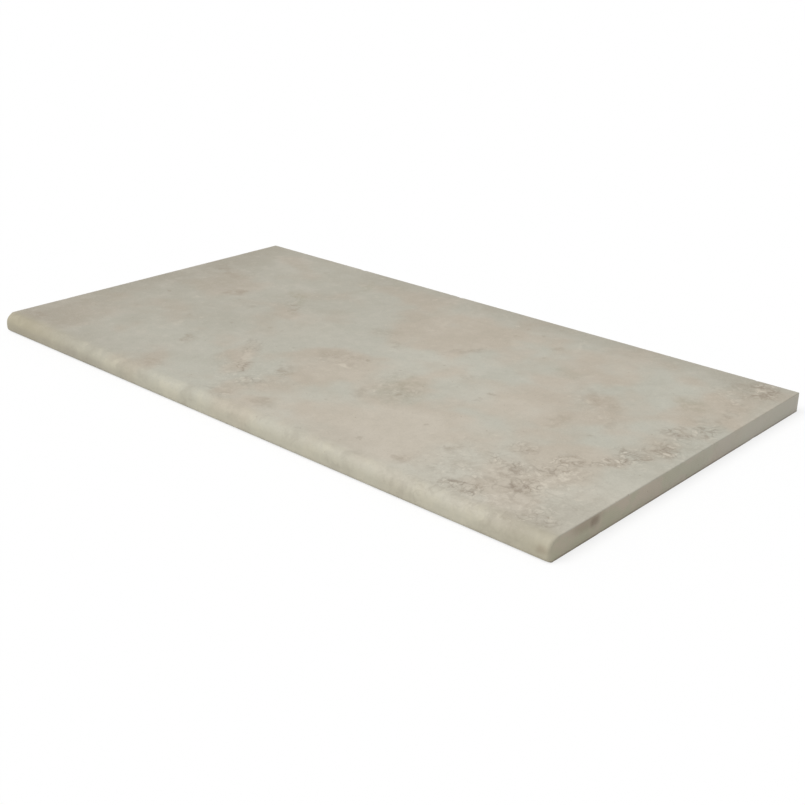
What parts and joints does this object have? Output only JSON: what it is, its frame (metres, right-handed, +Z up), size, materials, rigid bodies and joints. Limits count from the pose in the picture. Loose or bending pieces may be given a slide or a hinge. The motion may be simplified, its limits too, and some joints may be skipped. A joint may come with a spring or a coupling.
{
  "type": "pool coping stone",
  "caption": "Flat rectangular stone slab with one long edge worked to a rounded nose, laid as the border of a swimming pool or as an outdoor step edge.",
  "frame": {"origin": "middle of the bed face, under the middle of the outline", "axes": "+X along the pool edge, -Y towards the water at the rounded nose, +Z up through the walking face"},
  "size_m": [0.61, 0.33, 0.0165],
  "materials": {
    "honed_stone": "honed, matte"
  },
  "bodies": {
    "root": {"coping_stone": "honed_stone"}
  },
  "joints": []
}
